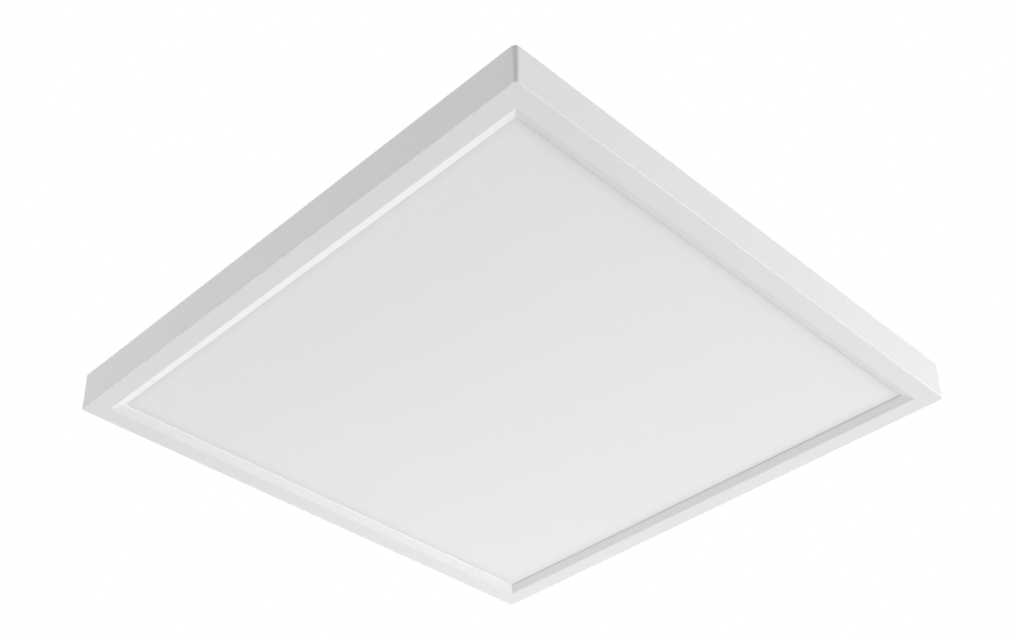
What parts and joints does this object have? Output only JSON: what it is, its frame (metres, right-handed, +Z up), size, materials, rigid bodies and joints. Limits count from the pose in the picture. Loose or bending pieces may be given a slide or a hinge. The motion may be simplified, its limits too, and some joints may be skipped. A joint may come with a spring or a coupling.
{
  "type": "surface-mounted downlight",
  "caption": "Square slim surface-mounted LED ceiling light: flat white bezel, sloping inner bevel, recessed opal diffuser; snaps onto a pressed ceiling bracket by spring clips",
  "frame": {"origin": "centre of the ceiling bracket's screw slots, on the ceiling plane", "axes": "+Z up into the ceiling; X along the bracket; the light's face looks towards -Z"},
  "size_m": [0.3, 0.3, 0.02],
  "materials": {
    "frame_white": "satin",
    "plate_white": "satin",
    "opal_sheet": "satin",
    "clear_acrylic": "gloss",
    "reflector_white": "satin",
    "foam_white": "matte",
    "tape_grey": "matte",
    "led_board_white": "satin",
    "led_yellow": "gloss",
    "zinc_steel": "satin",
    "spring_steel": "satin",
    "case_white": "satin",
    "board_green": "satin",
    "ferrite": "matte",
    "winding_tape": "satin",
    "capacitor_sleeve": "gloss",
    "chip_black": "matte",
    "terminal_grey": "satin",
    "terminal_brass": "polished",
    "button_orange": "satin",
    "lead_brown": "satin",
    "lead_blue": "satin",
    "lead_red": "satin",
    "lead_black": "satin",
    "rubber_black": "matte",
    "clip_nylon": "satin"
  },
  "bodies": {
    "bracket": {"ceiling_bracket": "zinc_steel", "bracket_grommet": "rubber_black"},
    "panel": {"front_frame": "frame_white", "diffuser": "opal_sheet", "light_guide": "clear_acrylic", "reflector_sheet": "reflector_white", "foam_pad": "foam_white", "thermal_tape_left": "tape_grey", "thermal_tape_right": "tape_grey", "led_board_left": "led_board_white", "led_board_right": "led_board_white", "led_chips_left": "led_yellow", "led_chips_right": "led_yellow", "back_plate": "plate_white", "back_plate_screws": "zinc_steel", "spring_clip_left": "spring_steel", "spring_clip_right": "spring_steel", "clip_rivets": "zinc_steel", "driver_base": "case_white", "driver_cover": "case_white", "driver_board": "board_green", "transformer_core": "ferrite", "transformer_winding": "winding_tape", "driver_capacitors": "capacitor_sleeve", "driver_inductor": "ferrite", "driver_chips": "chip_black", "driver_screws": "zinc_steel", "terminal_base": "terminal_grey", "terminal_housing": "terminal_grey", "terminal_screw": "zinc_steel", "terminal_contacts": "terminal_brass", "terminal_spring_line": "spring_steel", "terminal_spring_neutral": "spring_steel", "supply_lead_line": "lead_brown", "supply_lead_neutral": "lead_blue", "led_leads_positive": "lead_red", "led_leads_negative": "lead_black", "lead_grommets": "rubber_black", "lead_clips": "clip_nylon"},
    "line_button": {"terminal_button_line": "button_orange"},
    "neutral_button": {"terminal_button_neutral": "button_orange"}
  },
  "joints": [
    {"name": "panel_release", "type": "slide", "parent": "bracket", "child": "panel", "axis": [0, 0, -1], "range_m": [0, 0.06], "deforming": ["spring_clip_left", "spring_clip_right"]},
    {"name": "line_button_press", "type": "slide", "parent": "panel", "child": "line_button", "axis": [0, 0, -1], "range_m": [0, 0.0012], "stiffness_N_per_m": 2000, "springref_m": -0.0005, "deforming": ["terminal_spring_line"]},
    {"name": "neutral_button_press", "type": "slide", "parent": "panel", "child": "neutral_button", "axis": [0, 0, -1], "range_m": [0, 0.0012], "stiffness_N_per_m": 2000, "springref_m": -0.0005, "deforming": ["terminal_spring_neutral"]}
  ]
}
